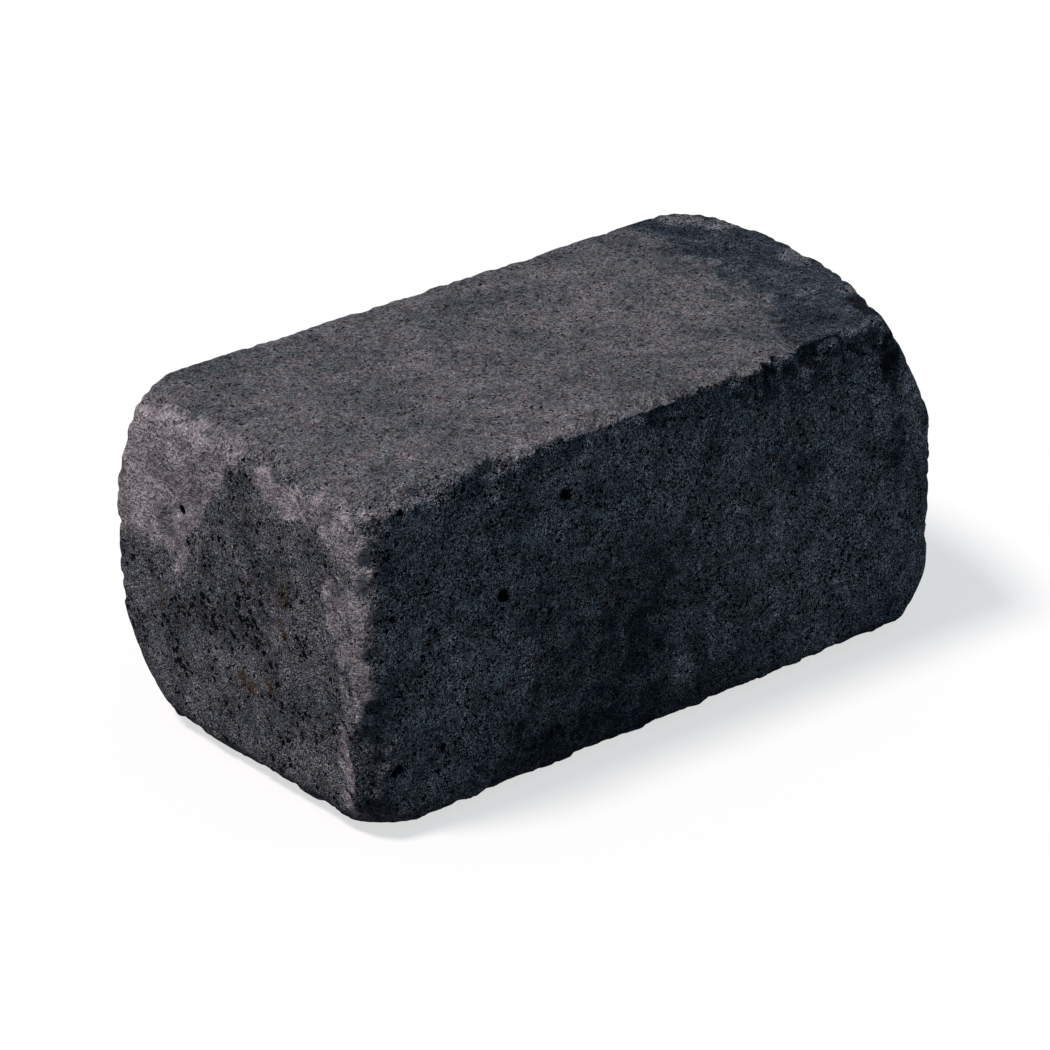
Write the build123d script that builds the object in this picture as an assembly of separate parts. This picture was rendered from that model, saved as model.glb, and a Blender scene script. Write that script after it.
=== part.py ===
"""Tumbled concrete garden wall block, in millimetres.

The block lies on its bed: X runs along its length, Y across its width and Z up.
The origin is the middle of the bottom face. The front is the long side at -Y,
and the left end, at -X, is the one that the front corner shares with it.

A block like this is pressed with sharp arrises and then tumbled in a drum, which
rubs every arris round, knocks its corners off and breaks chips out of its edges.
"""

import os
from math import sqrt

from build123d import *

# The pressed block, as it left the mould.
length = 295.0
width = 162.0
height = 140.0

# Every arris is at least this round.
arris_radius = 5.0

# How far each corner is worn back along the block's length, width and height from
# where its sharp point was, and how domed it is, as a share of the depth that went.
left_front_bottom = (41.0, 37.0, 24.0, 0.37)
left_front_top = (34.0, 30.0, 30.0, 0.45)
left_back_bottom = (54.0, 80.0, 57.0, 0.48)
left_back_top = (56.0, 25.0, 53.0, 0.15)
right_front_bottom = (26.0, 22.0, 70.0, 0.51)
right_front_top = (36.0, 130.0, 64.0, 0.38)
right_back_bottom = (38.0, 33.0, 36.0, 0.45)
right_back_top = (41.0, 36.0, 52.0, 0.43)

# A flat cut across a corner of the grown block sits this many arris radii further
# out than the same flat on the core, counted along each edge.
flat_shift = 1.27

# How deep the drum has rubbed each arris. The front and right arrises of the top are
# still sharp.
left_top_rub = 2.5
back_top_rub = 7.5
left_bottom_rub = 3.7
front_bottom_rub = 2.0
back_bottom_rub = 4.0
right_bottom_rub = 3.0
left_front_rub = 2.0
left_back_rub = 0.8
right_front_rub = 3.4
right_back_rub = 3.0

# Chips broken out of the arrises: place along the arris, length and depth.
front_arris_high_chip = (117.0, 30.0, 2.0)
front_arris_low_chip = (40.0, 50.0, 5.5)
front_top_spall = (-119.0, 54.0, 4.5)
front_top_chip = (-81.0, 30.0, 3.0)
back_arris_chip = (62.0, 44.0, 6.5)
back_bottom_chip = (-24.0, 52.0, 7.5)
back_top_chip = (58.0, 40.0, 10.0)
right_bottom_chip = (28.0, 38.0, 6.0)


def core_corner(along, across, up):
    """Corner of the core, which is the block less its arris radius all round."""
    x = along * (length / 2 - arris_radius)
    y = across * (width / 2 - arris_radius)
    z = height / 2 + up * (height / 2 - arris_radius)
    return Vector(x, y, z)


def corner_waste(along, across, up, worn):
    """What tumbling takes off one corner of the core.

    It is the box round the corner less a ball. The ball passes through the three
    edges where the wear ends, and stands proud of the flat between them.
    """
    corner = core_corner(along, across, up)
    reach_x = worn[0] - flat_shift * arris_radius
    reach_y = worn[1] - flat_shift * arris_radius
    reach_z = worn[2] - flat_shift * arris_radius
    on_x = corner - Vector(along * reach_x, 0, 0)
    on_y = corner - Vector(0, across * reach_y, 0)
    on_z = corner - Vector(0, 0, up * reach_z)

    flat_normal = Vector(along / reach_x, across / reach_y, up / reach_z)
    dome_height = worn[3] / flat_normal.length
    flat_normal = flat_normal.normalized()

    # The ring through the three edge points, and the ball whose cap stands on it.
    to_y = on_y - on_x
    to_z = on_z - on_x
    turned = to_y.cross(to_z)
    offset_y = turned.cross(to_y) * to_z.dot(to_z)
    offset_z = to_z.cross(turned) * to_y.dot(to_y)
    ring_middle = on_x + (offset_y + offset_z) * (0.5 / turned.dot(turned))
    ring_radius = (on_x - ring_middle).length
    ball_radius = (ring_radius**2 + dome_height**2) / (2 * dome_height)
    ball_centre = ring_middle - flat_normal * (ball_radius - dome_height)

    spare = 2 * arris_radius
    box_x = corner.X - along * (reach_x - spare) / 2
    box_y = corner.Y - across * (reach_y - spare) / 2
    box_z = corner.Z - up * (reach_z - spare) / 2
    region = Box(reach_x + spare, reach_y + spare, reach_z + spare)
    region = Pos(box_x, box_y, box_z) * region
    return region - Pos(*ball_centre) * Sphere(ball_radius)


def rubbed_flat(along, across, up, depth):
    """Flat that takes an arris of the core back; it runs where its sign is 0."""
    outward = Vector(along, across, up) / sqrt(2)
    on_flat = core_corner(along, across, up) - outward * depth
    return Plane(origin=on_flat, z_dir=outward)


def worn_body():
    """The block with its corners knocked off and its arrises rubbed round.

    The core loses its rubbed arrises and its corners first. It is then grown by the
    arris radius, which turns every edge into a round and leaves the six faces where
    they belong.
    """
    core = Pos(0, 0, height / 2) * Box(
        length - 2 * arris_radius, width - 2 * arris_radius, height - 2 * arris_radius
    )
    rubbed = [
        rubbed_flat(-1, 0, 1, left_top_rub),
        rubbed_flat(0, 1, 1, back_top_rub),
        rubbed_flat(-1, 0, -1, left_bottom_rub),
        rubbed_flat(0, -1, -1, front_bottom_rub),
        rubbed_flat(0, 1, -1, back_bottom_rub),
        rubbed_flat(1, 0, -1, right_bottom_rub),
        rubbed_flat(-1, -1, 0, left_front_rub),
        rubbed_flat(-1, 1, 0, left_back_rub),
        rubbed_flat(1, -1, 0, right_front_rub),
        rubbed_flat(1, 1, 0, right_back_rub),
    ]
    for flat in rubbed:
        core = split(core, bisect_by=flat, keep=Keep.BOTTOM)
    core -= corner_waste(-1, -1, -1, left_front_bottom)
    core -= corner_waste(-1, -1, 1, left_front_top)
    core -= corner_waste(-1, 1, -1, left_back_bottom)
    core -= corner_waste(-1, 1, 1, left_back_top)
    core -= corner_waste(1, -1, -1, right_front_bottom)
    core -= corner_waste(1, -1, 1, right_front_top)
    core -= corner_waste(1, 1, -1, right_back_bottom)
    core -= corner_waste(1, 1, 1, right_back_top)
    return offset(core, amount=arris_radius, kind=Kind.ARC)


def chip(along, across, up, sizes):
    """Ball that scoops a chip out of an arris; the arris runs where its sign is 0."""
    place, chip_length, depth = sizes
    core_edge = core_corner(along, across, up)
    if along == 0:
        core_edge = Vector(place, core_edge.Y, core_edge.Z)
    elif across == 0:
        core_edge = Vector(core_edge.X, place, core_edge.Z)
    else:
        core_edge = Vector(core_edge.X, core_edge.Y, place)
    outward = Vector(along, across, up) / sqrt(2)
    ball_radius = (chip_length**2 / 4 + depth**2) / (2 * depth)
    ball_centre = core_edge + outward * (arris_radius + ball_radius - depth)
    return Pos(*ball_centre) * Sphere(ball_radius)


wall_block = worn_body()
wall_block -= chip(-1, -1, 0, front_arris_high_chip)
wall_block -= chip(-1, -1, 0, front_arris_low_chip)
wall_block -= chip(0, -1, 1, front_top_spall)
wall_block -= chip(0, -1, 1, front_top_chip)
wall_block -= chip(1, 1, 0, back_arris_chip)
wall_block -= chip(0, 1, -1, back_bottom_chip)
wall_block -= chip(0, 1, 1, back_top_chip)
wall_block -= chip(1, 0, -1, right_bottom_chip)

os.makedirs("parts", exist_ok=True)
export_step(wall_block, "parts/wall_block.step")
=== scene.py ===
# %% [markdown]
# # A tumbled concrete garden wall block
#
# The real block is one piece of dark grey concrete. It was pressed with sharp edges,
# and then rolled in a drum with other blocks, which knocked its corners off, rubbed
# its edges round and broke small chips out of them. So the lesson has three parts:
# the worn body, the concrete itself, and a plain photographer's corner to see it in.
#
# The solid model comes first, as a frame of true size. The finished body stays inside
# its box, which is measured here.
# used throughout: the left end, the long front and the top.

# %% Load the frame
from math import hypot, radians

import bmesh
import bpy
import numpy as np
from mathutils import Matrix, Vector, noise


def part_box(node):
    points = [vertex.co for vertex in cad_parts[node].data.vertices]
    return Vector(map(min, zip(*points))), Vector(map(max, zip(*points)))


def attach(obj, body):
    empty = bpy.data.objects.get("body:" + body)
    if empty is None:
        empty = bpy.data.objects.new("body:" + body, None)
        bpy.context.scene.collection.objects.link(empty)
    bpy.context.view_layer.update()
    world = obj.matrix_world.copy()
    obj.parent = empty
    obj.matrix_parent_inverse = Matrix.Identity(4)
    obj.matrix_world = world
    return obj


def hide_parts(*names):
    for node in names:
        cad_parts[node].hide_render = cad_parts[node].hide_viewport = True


MM = 0.001

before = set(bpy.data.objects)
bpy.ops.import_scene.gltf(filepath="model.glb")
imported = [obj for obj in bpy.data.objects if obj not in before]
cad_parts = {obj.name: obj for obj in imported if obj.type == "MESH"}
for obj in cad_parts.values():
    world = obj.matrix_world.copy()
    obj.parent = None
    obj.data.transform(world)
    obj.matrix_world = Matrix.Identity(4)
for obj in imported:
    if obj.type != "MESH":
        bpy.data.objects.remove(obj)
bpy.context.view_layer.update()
low, high = (Vector(corner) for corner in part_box("wall_block"))
size = high - low
LEFT, FRONT, TOP = (round(face / MM, 3) for face in (low.x, low.y, high.z))
print("block", [round(side / MM, 1) for side in size], "mm")

# %% [markdown]
# ## The worn body
#
# The solid block has large smooth faces made of a few long triangles, and those can't
# carry relief. A subdivision would keep the long triangles' shape. A voxel remesh
# instead covers the whole skin with even little squares, 1.6 mm across, and every
# point of it can then be pushed in. The solid's triangles are loose, so a copy of them
# is merged first, and the remesh gets one closed skin to work on.

# %% Cover the block with an even skin
SKIN = 1.6 * MM
MERGE = 0.001 * MM


def show(name, data):
    """Put new data into the scene as an object."""
    shown = bpy.data.objects.new(name, data)
    bpy.context.scene.collection.objects.link(shown)
    return shown


def apply_modifiers(piece):
    """Keep what the piece's modifiers make of it as its own mesh."""
    before = piece.data
    ready = piece.evaluated_get(bpy.context.evaluated_depsgraph_get())
    piece.data = bpy.data.meshes.new_from_object(ready)
    piece.modifiers.clear()
    bpy.data.meshes.remove(before)
    piece.data.name = piece.name


def even_skin(node, name):
    skin = bmesh.new()
    skin.from_mesh(bpy.data.objects[node].data)
    bmesh.ops.remove_doubles(skin, verts=skin.verts, dist=MERGE)
    rough = bpy.data.meshes.new(name + "_rough")
    skin.to_mesh(rough)
    skin.free()
    piece = show(name, rough)
    remesh = piece.modifiers.new("skin", "REMESH")
    remesh.mode = "VOXEL"
    remesh.voxel_size = SKIN
    apply_modifiers(piece)
    return piece


block = even_skin("wall_block", "worn_block")
print("skin", len(block.data.vertices), "points,", len(block.data.polygons), "squares")

# %% [markdown]
# The solid's worn corners and edges are clean facets, but the drum leaves them soft.
# A Smooth modifier melts the facets together. A vertex group keeps it off the two
# edges that broke instead of wearing: the long one between the top and the front, and
# the upright one at the near corner.

# %% Soften the worn facets
SOFT_ROUNDS = 30
LONG_EDGE_START = (-95, -65)
LONG_EDGE_REACH = (20, 10)
UPRIGHT_REACH = (18, 10)


def share(value, none, full):
    """0 at one value, 1 at the other, and evenly in between."""
    return min(max((value - none) / (full - none), 0), 1)


def sharpness(place):
    """How much of its sharpness a place keeps, from 0 to 1."""
    from_long = hypot(place.y - FRONT, place.z - TOP)
    from_upright = hypot(place.x - LEFT, place.y - FRONT)
    long_edge = share(from_long, *LONG_EDGE_REACH) * share(place.x, *LONG_EDGE_START)
    return max(long_edge, 0.8 * share(from_upright, *UPRIGHT_REACH))


def soften(piece):
    group = piece.vertex_groups.new(name="soft")
    for vertex in piece.data.vertices:
        group.add([vertex.index], 1.0 - sharpness(vertex.co / MM), "REPLACE")
    smooth = piece.modifiers.new("soft", "SMOOTH")
    smooth.factor = 0.5
    smooth.iterations = SOFT_ROUNDS
    smooth.vertex_group = "soft"
    apply_modifiers(piece)
    piece.vertex_groups.clear()


soften(block)
print("softened in", SOFT_ROUNDS, "rounds")

# %% [markdown]
# Every point now needs to know where it sits. `depth` says how far it lies under the
# nearest face of the block as it was pressed: nothing on the flat faces, and more
# where the drum has rubbed material away. It tells the worn edges from the rest.
# All this is worked out in millimetres, which suit the sizes of grit and chips.

# %% Where each point sits
count = len(block.data.vertices)


def read_points(what):
    values = np.zeros(3 * count)
    block.data.vertices.foreach_get(what, values)
    return values.reshape(count, 3)


places = read_points("co") / MM
outward = read_points("normal")
x, y, z = places.T
upward = outward[:, 2]

half = np.array(size) / MM / 2
middle = np.array((low + high) / 2) / MM
under_faces = np.sort(half - np.abs(places - middle), axis=1)
depth = under_faces[:, 0]
to_edge = under_faces[:, 1]
print("deepest wear", round(float(depth.max()), 1), "mm")

# %% [markdown]
# Two helpers describe everything that follows. `ramp` turns a measure into a share: 0
# at its start, 1 at its end, and eased in between. `cloud` is smooth noise, whose
# lumps are about one grain wide, and its seed picks another part of the same noise.
# `layers` adds clouds up, each given as its height, its grain and its seed.

# %% Ramps and clouds
TALL = (1, 1, 0.5)
TALLER = (1, 0.5, 0.3)


def ramp(value, start, end):
    t = np.clip((value - start) / (end - start), 0, 1)
    return t * t * (3 - 2 * t)


def cloud(grain, seed, stretch=(1, 1, 1)):
    """Smooth noise from about -1 to 1, with lumps of one grain (mm) or taller ones."""
    shift = Vector((seed * 7.31, seed * 3.17, seed * 5.23))
    step = Vector(stretch) / grain
    return np.array([noise.noise(Vector(p) * step + shift) for p in places])


def layers(*recipe):
    return sum(height * cloud(grain, seed) for height, grain, seed in recipe)


# %% [markdown]
# The relief comes in layers, as it does on the real block. Wide hollows make the faces
# a little uneven. Lumps of a centimetre or so are the packing of the mix. Grit of a
# few millimetres covers everything. Worn places are battered, so there the lumps are
# larger and the grit is coarser.

# %% Relief of the faces
EVEN_SINK = 0.4
edge = ramp(depth + layers((0.6, 11, 1)), 0.1, 1.8)
hollows = layers((0.35, 60, 2))
lumps = layers((0.3, 15, 3), (0.3, 7, 4))
grit = layers((0.36, 3.6, 5))
battered = edge * layers((1.2, 20, 16), (1.3, 9, 17), (1.2, 5, 19))
sunk = EVEN_SINK + hollows + lumps + battered + grit * (1 + edge)
print("worn edges take", round(100 * float(edge.mean())), "% of the skin")

# %% [markdown]
# The edges crumble. Broad bites and small crumbs are cut where two clouds are high, so
# the line of an edge wanders, and no two places repeat.

# %% Crumbled edges
BITE_DEPTH = 1.7
CRUMB_DEPTH = 1.3
rim = ramp(to_edge, 9, 1.5)
bites = ramp(cloud(15, 6), 0.1, 0.5) * BITE_DEPTH
crumbs = ramp(cloud(6.5, 7), 0.0, 0.3) * CRUMB_DEPTH
sunk += rim * (bites + crumbs)

# %% [markdown]
# Some marks are worth placing one by one: a chip is a ragged bite out of an edge, and a
# pit is a small round hole that an air bubble left at the face of the mould. Each is
# a place in millimetres, with a radius, and a chip has a depth as well.

# %% Chips and pits placed one by one
CHIPS = [
    ((-84, -85, 134), 14, 2.0),
    ((-72, -84, 137), 6, 2.4),
    ((-143, -82, 45), 9, 2.6),
    ((-143, -82, 33), 7, 1.8),
]
PITS = [
    ((-51.2, FRONT, 115.3), 2.9),
    ((-82.3, FRONT, 83.8), 3.1),
    ((-134.3, FRONT, 90.8), 1.7),
    ((-133.0, FRONT, 28.8), 2.2),
    ((-135.0, FRONT, 27.2), 2.2),
    ((-112.3, FRONT, 31.3), 1.6),
    ((-54.8, FRONT, 35.8), 1.2),
    ((-31.4, FRONT, 86.6), 1.0),
    ((-143.3, FRONT, 121.9), 1.9),
    ((-129.2, FRONT, 131.9), 1.6),
    ((0.4, FRONT, 117.7), 1.3),
    ((-24.8, FRONT, 104.2), 1.0),
    ((-18.9, FRONT, 83.4), 0.9),
    ((68.2, FRONT, 90.4), 1.3),
    ((64.6, FRONT, 81.1), 1.1),
    ((LEFT, 32.6, 99.7), 2.0),
    ((LEFT, -30.1, 17.5), 1.2),
    ((LEFT, -30.8, 15.0), 1.2),
    ((LEFT, -57.7, 62.4), 1.0),
]
PIT_LIP = 0.8
PIT_DEPTH = 0.7


def near_place(place, radius, inner, ragged=0.0):
    """1 within the inner share of a radius round a place, and 0 outside it."""
    away = np.linalg.norm(places - np.array(place), axis=1)
    return ramp(away + ragged, radius, radius * inner)


chip_rim = layers((1.4, 6, 8))
for place, radius, bite in CHIPS:
    sunk += bite * near_place(place, radius, 0.35, chip_rim)
for place, radius in PITS:
    sunk += PIT_DEPTH * radius * near_place(place, radius + PIT_LIP, 0.3)
print("chips", len(CHIPS), "pits", len(PITS))

# %% [markdown]
# On the long front a thin layer has come away from the lower half. Its edge is a
# short step that runs down the face, and the ground beyond it is rougher. The step's
# line is given as its place along the block at each height.

# %% The scaled patch on the front
STEP_Z = [0, 13, 18, 26, 37, 45, 59, 72, 79, 90]
STEP_X = [-92, -90, -84, -80, -71, -68, -69, -76, -78, -60]
STEP_WIDTH = 3
LAYER_DEPTH = 0.8
step_x = np.interp(z, STEP_Z, STEP_X) + 5 * cloud(9, 10) + 4 * cloud(4, 34)
front = ramp(y, -74, -79)
scaled = front * ramp(x, step_x, step_x + STEP_WIDTH) * ramp(z, 92, 74) * ramp(x, 70, -30)
sunk += scaled * (LAYER_DEPTH + 0.5 * cloud(6, 11) + 0.3 * cloud(3.2, 12))
print("the patch takes", round(100 * float(scaled.mean())), "% of the skin")

# %% [markdown]
# Everything is pushed straight in along the skin's own outward direction, never out,
# so the body keeps inside the solid block and stands on the same floor.
#
# The two broken edges get a last cut. Pushing along a rounded edge keeps it round, but
# concrete breaks to a crisp, jagged ridge. So each face beside such an edge is held
# back from its mould plane by a ragged gap, and the two rough faces meet in a ridge.
# Beyond the middle of the long edge a piece has torn off, and there the notches are
# about 6 mm deep. `held` bends a value away from a limit softly, so that no two points
# land on each other.

# %% Break the two edges
notched = ramp(cloud(8, 20) + 0.8 * cloud(4.2, 21, TALLER), -0.25, 0.3)
crumbled = ramp(cloud(9, 22) + 0.8 * cloud(4.5, 23), -0.25, 0.3)
along = ramp(x, 122, 108)
torn_off = ramp(x, 40, 44)
notch_depth = 1.6 + 4.2 * torn_off
crumble_depth = 2.8 - 1.8 * torn_off
front_gap = along * ramp(z, 127, 137) * (0.6 + notch_depth * notched)
top_gap = along * ramp(y, -69, -78) * (0.4 + crumble_depth * crumbled)
upright_gap = ramp(x, -134, -143) * (0.3 + 1.8 * notched)
end_gap = ramp(y, -66, -76) * (0.2 + 1.3 * crumbled)


def held(value, limit, soft=0.3):
    return limit + soft * np.logaddexp(0, (value - limit) / soft)


moved = places - outward * np.clip(sunk, 0, None)[:, None]
moved[:, 1] = held(moved[:, 1], FRONT + np.maximum(front_gap, upright_gap))
moved[:, 2] = -held(-moved[:, 2], -TOP + top_gap)
moved[:, 0] = held(moved[:, 0], LEFT + end_gap)
moved = np.clip(moved, np.array(low) / MM, np.array(high) / MM)
block.data.vertices.foreach_set("co", (moved * MM).ravel())
block.data.update()
block.data.shade_smooth()
print("pushed in by", round(float(sunk.mean()), 2), "mm on average")

# %% [markdown]
# ## The concrete
#
# The mix is coloured all through, dark grey. Where the drum rubbed the cement skin
# off, the edges of the left end show pale and slightly pink. These patches follow the
# body's shape, so they are worked out for each point. There are three: the upper
# left of the end, the edge between it and the top, and a strip down the near upright
# edge. The strip's border is given as its place across the block at each height. A
# chip at its foot is dark, not pale, and has a border of the same kind. A few pale
# spots sit on the edge of the top.

# %% Pale places
STRIP_Z = [0, 31, 45, 58, 85, 98, 110, 119, 128, 140]
STRIP_Y = [-63, -64, -64, -62, -60, -59, -55, -50, -43, -38]
CHIP_Z = [0, 8, 25, 34, 42, 50, 57, 62]
CHIP_Y = [-71, -71, -71.5, -69.5, -67.5, -71, -76, -84]
PALE_SPOTS = [((-146, -22, 128), 9), ((-146, -33, 126), 8), ((-145, 2, 133), 7)]

top = ramp(upward, 0.5, 0.8)
patches = layers((1, 26, 13), (0.8, 10, 14), (0.6, 5, 18))
left = ramp(0.2 * patches - outward[:, 0], 0.05, 0.60) * ramp(x, -112, -128)

upper_left = ramp(y + 0.5 * (z - 100) + 14 * patches, 8, 24) * ramp(z + 9 * patches, 68, 84)
lumpy = 0.8 * ramp(cloud(17, 26) + 0.6 * cloud(7, 27) + 0.3 * patches, -0.2, 0.4)
top_left_edge = ramp(z + 12 * patches, 122, 136) * lumpy

strip = y - np.interp(z, STRIP_Z, STRIP_Y) + 7 * patches
near_edge = ramp(strip, 3, -4) * ramp(x + 2 * patches, -142, -144.5)
near_edge *= 0.72 + 0.6 * cloud(7, 26, TALL) + 0.5 * cloud(3.5, 27, TALL)
chipped = ramp(y - np.interp(z, CHIP_Z, CHIP_Y) + 3 * patches, 1, -1) * (1 - top)
near_edge *= 1 - chipped

worn = np.maximum(np.maximum(upper_left, top_left_edge), near_edge)
for place, radius in PALE_SPOTS:
    worn = np.maximum(worn, near_place(place, radius, 0.5, 7 * patches))
worn *= left * (1 - 0.5 * ramp(upward, 0.2, 0.75))
worn = np.maximum(worn, 0.4 * edge * ramp(patches, 0.0, 0.7))
print("worn share", round(float(worn.mean()), 3))

# %% [markdown]
# Rusty specks sit in a few places on the left end, each given as its place across the
# block, its height and its radius.

# %% Rusty places
STAINS = [
    (-30, 86, 7),
    (-30, 73, 6),
    (-11, 85, 5),
    (-1, 41, 6),
    (-10, 40, 6),
    (-19, 44, 5),
    (49, 58, 7),
]
stain_rim = layers((2.5, 4, 15))
stain = np.zeros(count)
for across, height, radius in STAINS:
    away = np.hypot(y - across, z - height) + stain_rim
    stain = np.maximum(stain, ramp(away, radius, radius * 0.3) * left)
print("rusty places", len(STAINS))

# %% [markdown]
# The tone wanders too, and not at random. The far right of the top is painted darker
# behind a slanting border, as the shade of a top that slopes away from the lamp, with a
# paler rim. The front has dark blots, painted shade under its broken edge, a dark
# upright band at its far end and a few pale scuffs. Each mark is a place,
# a radius and a tone, which is below 0 for dark and above 0 for pale.

# %% Dark and pale marks
MARKS = [
    ((6, FRONT, 24), 8, 0.8),
    ((74, FRONT, 8), 9, 0.7),
    ((88, FRONT, 9), 10, 0.7),
    ((-112, FRONT, 123), 8, 0.6),
    ((-104, FRONT, 60), 26, 0.25),
    ((100, FRONT, 117), 10, 0.5),
    ((127, -80, 107), 16, 0.5),
    ((131, -79, 88), 14, 0.5),
    ((21, FRONT, 113), 13, -0.5),
    ((69, FRONT, 89), 9, -0.6),
    # the next five marks are painted shade under the notches of the broken edge
    ((54, -80, 128), 9, -0.8),
    ((80, -80, 128), 11, -0.9),
    ((66, -80, 122), 8, -0.5),
    ((-8, -80, 132), 7, -0.4),
    ((26, -80, 130), 8, -0.5),
    ((108, -80, 106), 7, 0.4),
    ((122, FRONT, 80), 8, -0.8),
    ((123, FRONT, 94), 8, -0.9),
    ((121, FRONT, 108), 7, -0.9),
    ((118, -80, 119), 6, -1.1),
    ((115, -79, 127), 6, -1.1),
    ((114, -76, 134), 7, -1.2),
    ((116, -68, 138), 8, -1.4),
    ((119, -60, 138), 8, -1.4),
    ((123, -53, 137), 7, -1.2),
    ((-136, -79, 110), 8, -0.7),
    ((10, FRONT, 34), 60, -0.15),
    ((120, FRONT, 55), 70, -0.28),
    ((-147, -20, 85), 22, -0.5),
    ((-147, -5, 58), 24, -0.35),
    ((-147, -42, 55), 16, -0.3),
    ((-147, 34, 62), 16, -0.3),
    ((75, -30, TOP), 26, 0.2),
    # the next three marks are painted shade, darker towards the far right of the top
    ((90, 12, TOP), 13, -0.45),
    ((100, 34, TOP), 10, -0.35),
    ((125, 44, TOP), 9, -0.6),
    ((131, 56, 139), 12, 0.9),
    ((138, 42, 139), 11, 0.9),
    ((137, -4, 138), 12, 0.7),
    ((127, -46, 138), 10, 0.6),
]
BORDER_Y = [-81, -64, -29, 10, 44, 81]
BORDER_X = [62, 76, 98, 107, 109, 108]

mark_rim = layers((6, 12, 24), (5, 5, 25))
beyond = x - np.interp(y, BORDER_Y, BORDER_X) + mark_rim
shaded_far_end = ramp(beyond, -9, 6)
# painted shade: the far right of the top is darker behind the slanting border
tone = -top * (0.2 * ramp(beyond, -34, -9) + (0.7 + 0.25 * cloud(13, 35)) * shaded_far_end)
for place, radius, amount in MARKS:
    tone += amount * near_place(place, radius, 0.3, mark_rim)
print("marks", len(MARKS))

# %% [markdown]
# The rest of the tone follows the shape. The foot of each side, the chip at the near
# corner and the scaled patch are darker, the line under the broken edge is painted shade,
# as its notches would cast, and the crest of the broken edge is paler in places.

# %% Dark feet and pale crests
shade_under_edge = ramp(y, -70, -77) * ramp(z + 5 * notched, 128, 136)
on_crest = ramp(y, -69, -77) * ramp(cloud(5, 30), -0.1, 0.3)
tone -= 0.4 * (1 - top) * ramp(z + mark_rim, 34, 6)
# painted shade under the notches of the broken edge
tone -= 0.8 * along * (1 - top) * shade_under_edge
tone -= 0.55 * chipped * ramp(x, -130, -141)
tone -= scaled * (0.4 + 0.8 * cloud(11, 32) + 0.5 * cloud(5, 33))
tone += 0.5 * along * top * on_crest

# %% [markdown]
# The patterns are kept on the body's points as attributes, which the material reads.
# `worn` is the pale places, `stain` the rusty ones, `scaled` the rough patch and
# `tone` the dark and pale marks, painted shade among them. The torn pattern says how
# torn the grain is, because the sides slid along the mould, and the front most of all;
# it also gives the sides and the far right of the top a painted cooler cast of shade.
# `holey` says how many little holes there are, with a swarm of them on the left end.
# `battered` is where the relief is coarser.

# %% Keep the patterns on the points
from_swarm = np.hypot((y - 8) / 76, (z - 58) / 48) + 0.7 * cloud(16, 31)
holey = 0.62 * (1 - top) + 0.6 * top * shaded_far_end
holey += 0.4 * left * ramp(from_swarm, 1.1, 0.5)
patterns = {
    "worn": worn,
    "stain": stain,
    "scaled": scaled,
    "torn": (1 - top) * (1 - 0.55 * left) + 0.7 * top * shaded_far_end,
    "tone": tone,
    "holey": holey,
    "battered": np.maximum(edge, worn),
}
for name, values in patterns.items():
    attribute = block.data.attributes.new(name, "FLOAT", "POINT")
    attribute.data.foreach_set("value", np.clip(values, -2, 2))
print("patterns", *patterns)

# %% [markdown]
# A material is a chain of small nodes. The helpers below add one node and join its
# inputs, so that each later cell reads as a recipe. Patterns read Object coordinates,
# which are metres on the block, so a scale of 1000 makes grains of about 1 mm.

# %% Helpers for the material
def start_recipe(owner):
    """Empty an owner's node tree, and let the helpers write in it."""
    global nodes, links
    owner.use_nodes = True
    nodes, links = owner.node_tree.nodes, owner.node_tree.links
    nodes.clear()


def join(value, socket):
    if isinstance(value, bpy.types.NodeSocket):
        links.new(value, socket)
    else:
        socket.default_value = value


def join_all(values, sockets):
    for value, socket in zip(values, sockets):
        join(value, socket)


def add(kind, settings=None, **inputs):
    made = nodes.new(kind)
    for name, value in (settings or {}).items():
        setattr(made, name, value)
    for name, value in inputs.items():
        join(value, made.inputs[name.replace("_", " ")])
    return made


def maths(operation, *values):
    made = add("ShaderNodeMath", {"operation": operation})
    join_all(values, made.inputs)
    return made.outputs[0]


def vector_maths(operation, *values):
    made = add("ShaderNodeVectorMath", {"operation": operation})
    join_all(values, made.inputs)
    return made.outputs


def blend(share, first, second, how="MIX"):
    made = add("ShaderNodeMix", {"data_type": "RGBA", "blend_type": how})
    join_all((share, first, second), (made.inputs[0], made.inputs[6], made.inputs[7]))
    return made.outputs[2]


def between(value, start, end, low_value=0.0, high_value=1.0):
    made = add("ShaderNodeMapRange", {"interpolation_type": "SMOOTHSTEP"})
    join_all((value, start, end, low_value, high_value), made.inputs)
    return made.outputs[0]


def pattern(name):
    return add("ShaderNodeAttribute", {"attribute_name": name}).outputs["Fac"]


concrete = bpy.data.materials.new("tumbled_concrete")
start_recipe(concrete)
here = add("ShaderNodeTexCoord").outputs["Object"]


def noise_at(scale, detail, roughness, shift=(0, 0, 0)):
    place = add("ShaderNodeMapping", Vector=here, Location=shift).outputs[0]
    made = add(
        "ShaderNodeTexNoise", Vector=place, Scale=scale, Detail=detail, Roughness=roughness
    )
    return made.outputs[0]


# %% [markdown]
# The grey is uneven on three scales: cloudy patches as wide as a hand, blotches of a
# centimetre or two, and the sand itself, whose grains are lighter or darker each by
# its own amount. Dark parts are a little bluer than light ones.

# %% The grey
DARK_GREY = (0.075, 0.080, 0.091, 1)
LIGHT_GREY = (0.150, 0.140, 0.152, 1)
clouds = noise_at(14, 3, 0.55)
blotches = noise_at(55, 4, 0.65, (3, 1, 2))
unevenness = maths("MULTIPLY_ADD", clouds, 0.45, maths("MULTIPLY", blotches, 0.55))
grey = blend(between(unevenness, 0.36, 0.64), DARK_GREY, LIGHT_GREY)
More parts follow.
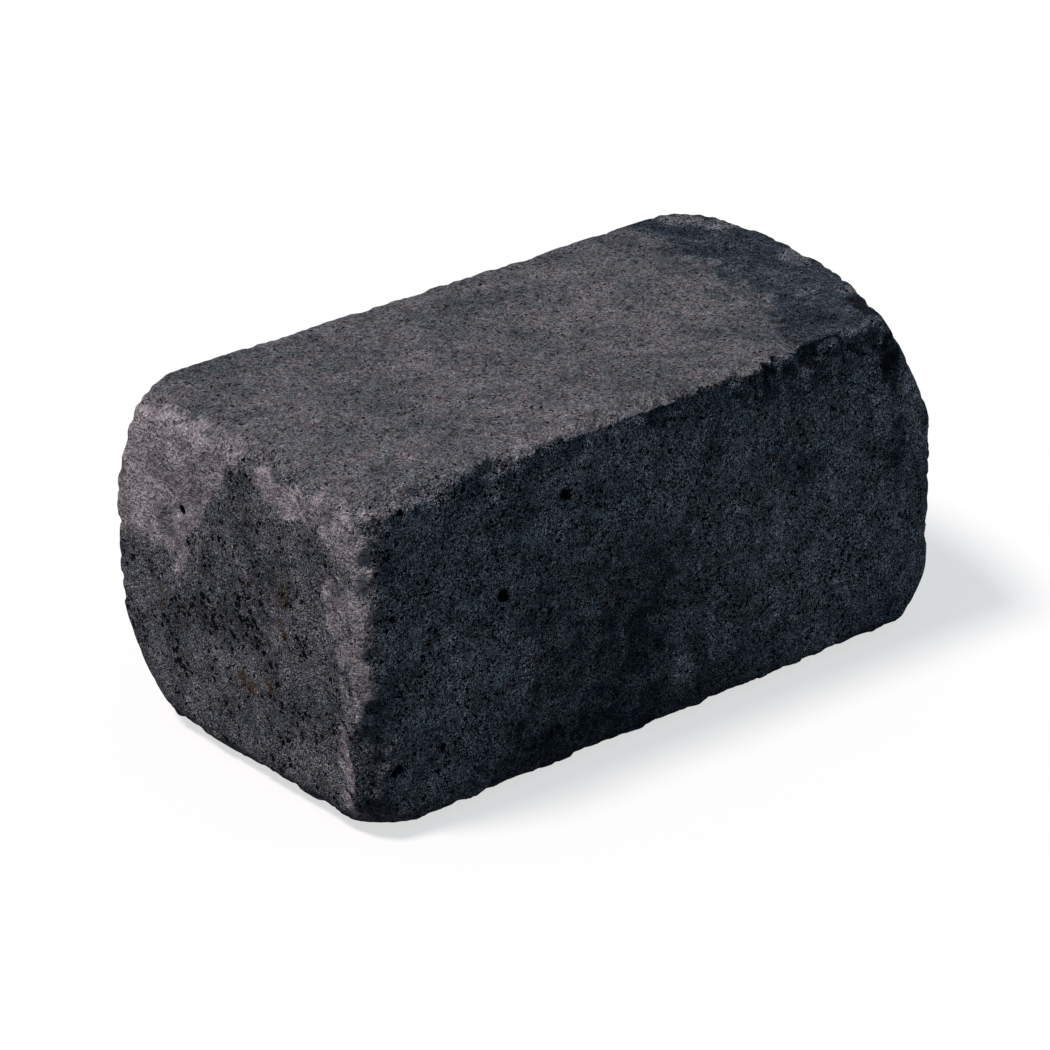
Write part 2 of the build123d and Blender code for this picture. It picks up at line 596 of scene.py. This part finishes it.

# %% [markdown]
# The marks then darken or scuff the grey, and the darkest of them turn it nearly black.
# Some dark marks are painted shade: the far right of the top and the line under the
# broken edge. Noise breaks them up first, so they are thick with dark or pale grains
# instead of being smooth stains. A faint warm and cool tinge wanders too, and the sides
# are painted cooler, as the bluish cast of their shade.

# %% Darker tone and painted shade, scuffed and tinged
# darkens the dark marks, and the painted shade among them
DARK_TONE_AND_SHADE = (0.295, 0.365, 0.425, 1)
SCUFFED = (2.4, 2.3, 2.25, 1)
# black of painted shade in holes, also used for the darkest marks
HOLE_AND_SHADE_BLACK = (0.002, 0.0025, 0.004, 1)
WARM = (1.05, 0.99, 0.97, 1)
COOL_AND_SHADE_TINT = (0.95, 1.005, 1.03, 1)
breaking = maths("MULTIPLY_ADD", noise_at(210, 3, 0.85, (5, 5, 5)), 1.6, -0.8)
broken_tone = maths("ADD", pattern("tone"), breaking)
darkened_by_tone_and_shade = between(broken_tone, -0.1, -1.0)
scuffed = between(broken_tone, 0.15, 1.0)
blackened = between(broken_tone, -0.9, -2.0, 0.0, 0.85)
grey = blend(darkened_by_tone_and_shade, grey, blend(1.0, grey, DARK_TONE_AND_SHADE, "MULTIPLY"))
grey = blend(scuffed, grey, blend(1.0, grey, SCUFFED, "MULTIPLY"))
grey = blend(blackened, grey, HOLE_AND_SHADE_BLACK)

torn_and_shaded = pattern("torn")
tinge_and_shade_tint = between(noise_at(150, 2, 0.7, (7, 2, 2)), 0.38, 0.62)
# painted shade: the sides are tinted cooler, as the bluish cast of their shade
tinge_and_shade_tint = maths("MULTIPLY_ADD", torn_and_shaded, -0.8, tinge_and_shade_tint)
grey = blend(1.0, grey, blend(tinge_and_shade_tint, COOL_AND_SHADE_TINT, WARM), "MULTIPLY")

# %% [markdown]
# Two sands cover every face, with grains of about 3.5 mm and 0.9 mm, and the smaller
# counts more. Torn faces get a third, of 0.4 mm. There the grains stand out more, and
# so do mottles a centimetre wide. An eye judges tones by ratio, so the sum is raised
# to a power. The darkest grains of a torn face are holes, painted black as their shade.

# %% The sand
EYE_POWER = 2.2


def sand(scale, detail, roughness, shift=(0, 0, 0)):
    """Noise about 0, with one lighter or darker lump for each grain."""
    return maths("SUBTRACT", noise_at(scale, detail, roughness, shift), 0.5)


fine_sand = sand(1150, 1, 1.0)
coarse_sand = sand(290, 1, 1.0, (1, 5, 4))
finest_sand = sand(2300, 0, 0.5)
mottle = sand(100, 3, 0.7, (2, 2, 7))
grain = maths("MULTIPLY_ADD", fine_sand, 1.9, maths("MULTIPLY", coarse_sand, 0.8))

mottled = maths("MULTIPLY", mottle, maths("MULTIPLY_ADD", torn_and_shaded, 0.9, 0.15))
contrast = maths("MULTIPLY_ADD", torn_and_shaded, 0.5, 1.0)
signal = maths("MULTIPLY_ADD", grain, contrast, mottled)
signal = maths("MULTIPLY_ADD", finest_sand, maths("MULTIPLY", torn_and_shaded, 1.8), signal)
speckle = maths("POWER", maths("MAXIMUM", maths("ADD", signal, 1.01), 0.12), EYE_POWER)
colour = blend(1.0, grey, speckle, "MULTIPLY")

dark_grain = maths("MULTIPLY_ADD", finest_sand, 1.3, fine_sand)
ink = between(dark_grain, -0.08, -0.26)
ink = maths("MULTIPLY", ink, maths("MULTIPLY_ADD", torn_and_shaded, 0.75, 0.2))
colour = blend(ink, colour, HOLE_AND_SHADE_BLACK)

# %% [markdown]
# Rubbed edges are paler and pinker, and patchy. The pattern of the points is broken up
# by finer noise, because the points alone are too far apart for the grain of it.

# %% Pale worn edges
PALE = (0.36, 0.315, 0.335, 1)
worn_less = maths("ADD", pattern("worn"), -0.8)
broken = maths("MULTIPLY_ADD", noise_at(130, 3, 0.8), 1.6, worn_less)
paleness = between(broken, 0.2, 0.9)
pale_grain = maths("MULTIPLY_ADD", grain, 0.65, 1.0)
pale_grain = maths("POWER", maths("MAXIMUM", pale_grain, 0.2), EYE_POWER)
whitish = between(noise_at(75, 2, 0.7, (4, 4, 2)), 0.35, 0.7, 0.8, 1.35)
pale = blend(1.0, PALE, maths("MULTIPLY", pale_grain, whitish), "MULTIPLY")
colour = blend(maths("MULTIPLY", paleness, 0.9), colour, pale)

# %% [markdown]
# Little dark holes lie between the grains, in loose swarms, painted black as their shade,
# and are commonest where the face is holey. There are specks of about a millimetre, and
# bubbles of up to four.
# Both read stirred coordinates, so that none of them is quite round.

# %% Dark specks and bubbles
STIR = 1.8 * MM
swarm = between(noise_at(60, 2, 0.6, (5, 4, 1)), 0.42, 0.60)
holes = pattern("holey")
many = maths("MULTIPLY_ADD", swarm, 0.6, 0.4)
many = maths("MULTIPLY", many, maths("MULTIPLY_ADD", holes, 0.8, 0.2))
stirring = add("ShaderNodeTexNoise", Vector=here, Scale=350.0, Detail=0.0).outputs["Color"]
stirred = vector_maths("MULTIPLY_ADD", stirring, (STIR,) * 3, here)[0]

gap = add("ShaderNodeTexVoronoi", Vector=stirred, Scale=310.0).outputs["Distance"]
gap = maths("ADD", gap, fine_sand)
reach = maths("MULTIPLY_ADD", many, 0.36, 0.08)
speck = between(gap, maths("ADD", reach, 0.04), maths("ADD", reach, -0.04))

bubble = add("ShaderNodeTexVoronoi", Vector=stirred, Scale=145.0).outputs
bubble_size = add("ShaderNodeSeparateColor", Color=bubble["Color"]).outputs[2]
bubble_size = maths("MULTIPLY", maths("POWER", bubble_size, 1.6), maths("POWER", many, 2.0))
bubble_size = maths("MULTIPLY", bubble_size, 0.34)
pitted = between(bubble["Distance"], bubble_size, maths("MULTIPLY", bubble_size, 0.75))

# %% [markdown]
# The larger air holes sit where the geometry has its pits, and their black is painted
# shade. Their distance is worked out in the material as well, because the skin's points
# are too far apart to draw a crisp black hole. Each is a ball round a point in the floor
# of its pit, moved on by half of the stirring.

# %% Dark pits
for place, radius in PITS:
    inward = Vector((0, 1, 0)) if place[1] == FRONT else Vector((1, 0, 0))
    pit_floor = Vector(place) + inward * (0.6 + 0.35 * radius)
    centre = pit_floor * MM + Vector((STIR / 2,) * 3)
    away = vector_maths("DISTANCE", stirred, centre)["Value"]
    pit = between(away, radius * MM, 0.8 * radius * MM)
    pitted = maths("MAXIMUM", pitted, pit)

# %% [markdown]
# Painted shade over the swarms of holes, the holes themselves, painted black as their
# shade, the rust and the rough patch are laid over the colour, from the faintest to the
# blackest. Worn places keep fewer specks.

# %% Holes, rust and the rough patch
RUST = (0.075, 0.042, 0.020, 1)
shadowed = maths("MULTIPLY", maths("MULTIPLY", swarm, holes), 0.35)
unworn = maths("MULTIPLY_ADD", paleness, -0.7, 1.0)
rust = maths("MULTIPLY", pattern("stain"), between(noise_at(260, 3, 0.6), 0.42, 0.62))
colour = blend(shadowed, colour, HOLE_AND_SHADE_BLACK)
colour = blend(maths("MULTIPLY", speck, unworn), colour, HOLE_AND_SHADE_BLACK)
colour = blend(maths("MULTIPLY", rust, 0.8), colour, RUST)
colour = blend(maths("MULTIPLY", pattern("scaled"), 0.25), colour, HOLE_AND_SHADE_BLACK)
colour = blend(pitted, colour, HOLE_AND_SHADE_BLACK)

# %% [markdown]
# The finest relief is a bump: sand grains stand up a little, and specks are small
# holes. Its height is in metres, so it keeps its true size. Dry concrete hardly
# shines, so its specular is next to nothing.

# %% Sandy bump and the finished material
BUMP = 0.8 * MM
lumps_height = noise_at(430, 2, 0.85, (1, 9, 4))
height = maths("MULTIPLY_ADD", fine_sand, 1.1, maths("MULTIPLY", lumps_height, 1.8))
height = maths("SUBTRACT", height, between(gap, 0.30, 0.05, 0.0, 0.8))
coarse_height = maths("ADD", pattern("battered"), 1.0)
height = maths("MULTIPLY_ADD", coarse_sand, coarse_height, height)
bump = add("ShaderNodeBump", Height=height, Strength=1.0, Distance=BUMP)
finish = add("ShaderNodeBsdfPrincipled", Normal=bump.outputs[0], Roughness=0.95)
finish.inputs["Specular IOR Level"].default_value = 0.03
links.new(colour, finish.inputs["Base Color"])
links.new(finish.outputs[0], add("ShaderNodeOutputMaterial").inputs[0])

block.data.materials.clear()
block.data.materials.append(concrete)
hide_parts("wall_block")
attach(block, "root")
print("material", concrete.name, "with", len(nodes), "nodes")

# %% [markdown]
# ## A plain studio
#
# The block stands on white paper. A camera is set so that such paper comes out white,
# so to the camera the paper is partly a glow, and it still takes the block's shadow.
# To the light that bounces it is much darker, so that it doesn't lift the shaded front.

# %% Floor
WHITE = (1, 1, 1, 1)
PAPER_SEEN = (0.95, 0.95, 0.95, 1)
PAPER_BOUNCING = (0.16, 0.16, 0.17, 1)
GLOW = 1.08
GLOW_SHARE = 0.6

ground = bmesh.new()
bmesh.ops.create_grid(ground, x_segments=1, y_segments=1, size=4.0)
floor_mesh = bpy.data.meshes.new("floor")
ground.to_mesh(floor_mesh)
ground.free()
floor = show("floor", floor_mesh)

paper = bpy.data.materials.new("white_paper")
start_recipe(paper)


def seen_straight():
    """1 for what the camera sees, also in a mirror or through glass, and else 0."""
    path = add("ShaderNodeLightPath").outputs
    seen = maths("MAXIMUM", path["Is Camera Ray"], path["Is Glossy Ray"])
    return maths("MAXIMUM", seen, path["Is Transmission Ray"])


seen = seen_straight()
matt = add("ShaderNodeBsdfDiffuse", Color=blend(seen, PAPER_BOUNCING, PAPER_SEEN))
glow = add("ShaderNodeEmission", Color=WHITE, Strength=GLOW)
lit = add("ShaderNodeMixShader", Fac=maths("MULTIPLY", seen, GLOW_SHARE))
links.new(matt.outputs[0], lit.inputs[1])
links.new(glow.outputs[0], lit.inputs[2])
links.new(lit.outputs[0], add("ShaderNodeOutputMaterial").inputs[0])
floor.data.materials.append(paper)
print("floor", paper.name)

# %% [markdown]
# The light comes from one large soft lamp, high over the left end and a little behind,
# so the top is bright, the left end is half lit and the long front is in shade. The
# rest of the room gives a weak bluish fill.

# %% Lamp and room
TOWARDS_LAMP = Vector((-0.42, 0.14, 0.87))
ROOM_FILL = (0.125, 0.200, 0.250, 1)

key = bpy.data.lights.new("soft_lamp", "SUN")
key.energy = 2.9
key.angle = radians(13)
key.color = (1.0, 0.905, 0.87)
lamp = show("soft_lamp", key)
lamp.rotation_euler = TOWARDS_LAMP.to_track_quat("Z", "Y").to_euler()

room = bpy.data.worlds.new("room")
bpy.context.scene.world = room
start_recipe(room)
sky = add("ShaderNodeBackground", Color=blend(seen_straight(), ROOM_FILL, WHITE), Strength=1.0)
links.new(sky.outputs[0], add("ShaderNodeOutputWorld").inputs[0])
print("lamp", lamp.name, "and", room.name)

# %% [markdown]
# The camera stands 1.68 m away, with a long lens, looking down by 25 degrees at the
# corner between the long front and the left end. The numbers come from fitting the
# block's outline to the photograph, which is 1050 pixels wide. At the block's distance
# a metre spans 2519 of them.

# %% Camera
TURN, TILT, ROLL = radians(-39.81), radians(24.82), radians(-0.74)
DISTANCE = 1.68
PIXELS_PER_METRE = 2519.1
FRAME_PIXELS = 1050
SENSOR = 36

eye = bpy.data.cameras.new("camera")
eye.sensor_width = SENSOR
eye.lens = PIXELS_PER_METRE * DISTANCE / FRAME_PIXELS * SENSOR
eye.shift_x = -0.0087
eye.shift_y = -0.0241
camera = show("camera", eye)
turned = (
    Matrix.Rotation(TURN, 4, "Z")
    @ Matrix.Rotation(radians(90) - TILT, 4, "X")
    @ Matrix.Rotation(ROLL, 4, "Z")
)
target = Vector((0, 0, size.z / 2))
camera.matrix_world = Matrix.Translation(target + turned.col[2].xyz * DISTANCE) @ turned
bpy.context.scene.camera = camera
bpy.context.scene.view_settings.view_transform = "Standard"
print("lens", round(eye.lens), "mm")
